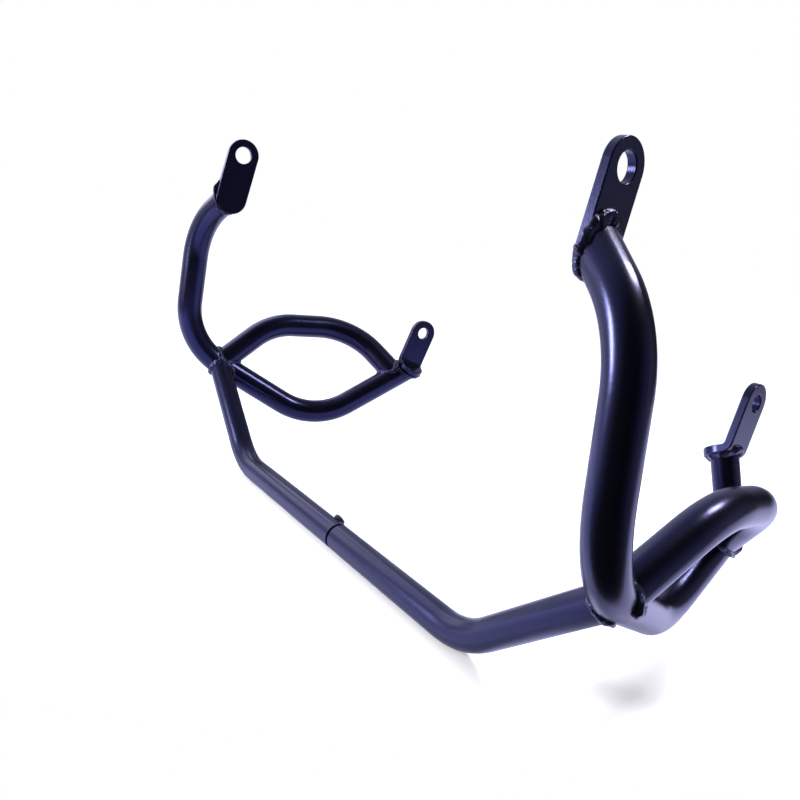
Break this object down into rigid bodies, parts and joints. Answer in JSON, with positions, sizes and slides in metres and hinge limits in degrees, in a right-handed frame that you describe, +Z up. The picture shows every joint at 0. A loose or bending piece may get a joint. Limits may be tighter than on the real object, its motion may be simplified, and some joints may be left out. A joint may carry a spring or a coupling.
{
  "type": "motorcycle crash bars",
  "caption": "Bent tube engine guard in two welded halves, joined under the engine, with side loops and drilled tabs that bolt to the frame.",
  "frame": {"origin": "in the middle plane, at the bottom centre of the bounding box", "axes": "+X to the rider's left along the cross tube, +Y to the rear of the machine, +Z up"},
  "size_m": [0.6093, 0.2736, 0.322],
  "materials": {
    "powder_coat": "satin black powder coat on steel tube and plate",
    "coated_weld": "rippled weld bead under black powder coat",
    "spigot_steel": "matt black sleeve",
    "black_screw": "black oxide"
  },
  "bodies": {
    "root": {"left_main_tube": "powder_coat", "left_cross_tube": "powder_coat", "left_brace_tube": "powder_coat", "left_upper_tab": "powder_coat", "left_rear_bracket": "powder_coat", "left_upper_tab_weld": "coated_weld", "left_cross_weld": "coated_weld", "left_brace_front_weld": "coated_weld", "left_brace_rear_weld": "coated_weld", "left_bracket_weld": "coated_weld", "right_main_tube": "powder_coat", "right_cross_tube": "powder_coat", "right_brace_tube": "powder_coat", "right_upper_tab": "powder_coat", "right_rear_bracket": "powder_coat", "right_upper_tab_weld": "coated_weld", "right_cross_weld": "coated_weld", "right_brace_front_weld": "coated_weld", "right_brace_rear_weld": "coated_weld", "right_bracket_weld": "coated_weld", "left_bracket_post": "powder_coat", "left_tube_end_cap": "powder_coat", "left_post_weld": "coated_weld", "joint_spigot": "spigot_steel", "joint_screw": "black_screw"}
  },
  "joints": []
}
